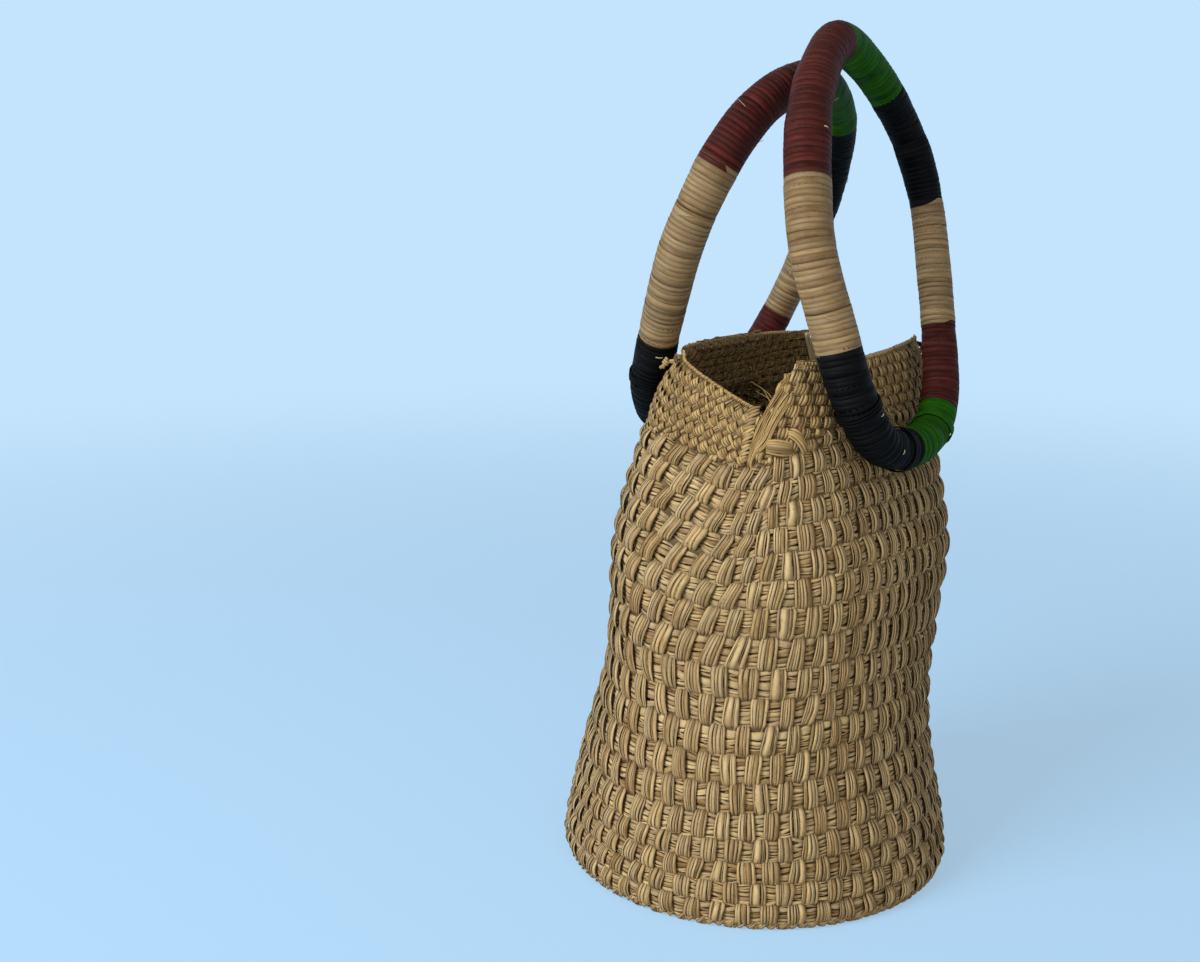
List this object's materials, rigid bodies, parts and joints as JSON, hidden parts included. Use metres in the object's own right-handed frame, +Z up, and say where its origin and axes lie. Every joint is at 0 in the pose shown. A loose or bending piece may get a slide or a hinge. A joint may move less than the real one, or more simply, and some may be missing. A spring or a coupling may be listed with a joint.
{
  "type": "woven bag",
  "caption": "Open bucket bag of woven raffia with a round flat foot, squarish slit mouth and stiff ring handles wound in coloured bands that swing outward.",
  "frame": {"origin": "middle of the round foot, on the surface the bag stands on", "axes": "+Z up; the long side of the mouth lies along X and the front handle is on the -Y side"},
  "size_m": [0.2126, 0.2126, 0.4399],
  "materials": {
    "weave": "coarse plain-woven raffia bundles",
    "fine_weave": "fine plain-woven raffia",
    "hem": "pale raffia band",
    "cane": "bent cane",
    "green": "dyed raffia ribbon",
    "black": "dyed raffia ribbon",
    "natural": "undyed raffia ribbon",
    "brown": "dyed raffia ribbon"
  },
  "bodies": {
    "root": {"base_disc": "weave", "base_border": "weave", "body_wall": "weave", "collar_front": "fine_weave", "hem_front": "hem", "rim_binding_front": "fine_weave", "edge_cord_front": "natural", "slit_gather_front": "natural", "peak_knot_front": "natural", "collar_back": "fine_weave", "hem_back": "hem", "rim_binding_back": "fine_weave", "edge_cord_back": "natural", "slit_gather_back": "natural", "peak_knot_back": "natural"},
    "front_handle": {"front_handle_core": "cane", "front_wrap_top_green": "green", "front_wrap_upper_black": "black", "front_wrap_side_natural": "natural", "front_wrap_lower_brown": "brown", "front_wrap_bottom_green": "green", "front_wrap_lower_black": "black", "front_wrap_long_natural": "natural", "front_wrap_top_brown": "brown", "front_sewn_tie_1": "green", "front_sewn_tie_2": "black", "front_sewn_tie_3": "black"},
    "back_handle": {"back_handle_core": "cane", "back_wrap_top_green": "green", "back_wrap_upper_black": "black", "back_wrap_side_natural": "natural", "back_wrap_lower_brown": "brown", "back_wrap_bottom_green": "green", "back_wrap_lower_black": "black", "back_wrap_long_natural": "natural", "back_wrap_top_brown": "brown", "back_sewn_tie_1": "green", "back_sewn_tie_2": "black", "back_sewn_tie_3": "black"}
  },
  "joints": [
    {"name": "front_handle_swing", "type": "hinge", "parent": "root", "child": "front_handle", "pos_m": [-0.008, -0.0866, 0.2348], "axis": [1, 0, 0], "range_deg": [0, 60]},
    {"name": "back_handle_swing", "type": "hinge", "parent": "root", "child": "back_handle", "pos_m": [0.012, 0.0635, 0.2336], "axis": [-1, 0, 0], "range_deg": [0, 60]}
  ]
}
